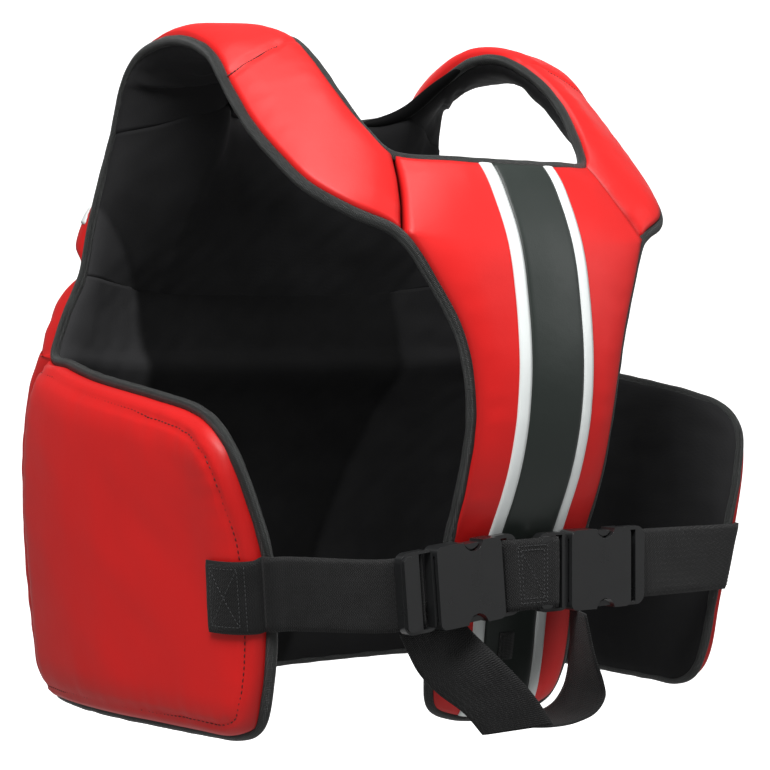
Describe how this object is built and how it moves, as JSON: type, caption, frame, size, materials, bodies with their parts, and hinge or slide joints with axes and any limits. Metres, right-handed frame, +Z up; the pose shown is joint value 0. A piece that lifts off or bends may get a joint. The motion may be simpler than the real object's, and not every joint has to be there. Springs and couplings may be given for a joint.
{
  "type": "boxing chest guard",
  "caption": "Padded sleeveless body protector with a shaped belly pad, wrap-round sides, shoulder pads, a long back panel and webbing straps with side release buckles",
  "frame": {"origin": "midway between the shoulders, level with the underside of the shoulder pads, where the guard rests on its wearer", "axes": "the wearer faces -Y, +X is the wearer's left and +Z is up"},
  "size_m": [0.51, 0.4125, 0.5033],
  "materials": {
    "red_leather": "smooth synthetic leather with a fine grain, semi gloss",
    "white_leather": "smooth synthetic leather, semi gloss",
    "dark_leather": "smooth synthetic leather, satin",
    "lining": "brushed knit cloth, matt",
    "binding": "woven edge binding with one row of stitches",
    "webbing": "ribbed polyester webbing",
    "label": "small woven tag, bare",
    "buckle": "moulded plastic, matt"
  },
  "bodies": {
    "root": {"belly_pad": "red_leather", "chest_pad": "red_leather", "left_wing_pad": "red_leather", "right_wing_pad": "red_leather", "left_shoulder_pad": "red_leather", "right_shoulder_pad": "red_leather", "spine_pad": "red_leather", "belly_lining": "lining", "chest_lining": "lining", "left_wing_lining": "lining", "right_wing_lining": "lining", "left_shoulder_lining": "lining", "right_shoulder_lining": "lining", "spine_lining": "lining", "outer_binding": "binding", "neck_binding": "binding", "chest_stripe": "white_leather", "left_spine_stripe": "white_leather", "right_spine_stripe": "white_leather", "spine_band": "dark_leather", "label": "label", "left_strap": "webbing", "right_strap": "webbing", "centre_belt": "webbing", "left_strap_tail": "webbing", "right_strap_tail": "webbing", "left_buckle_plug": "buckle", "left_buckle_socket": "buckle", "right_buckle_plug": "buckle", "right_buckle_socket": "buckle"}
  },
  "joints": []
}
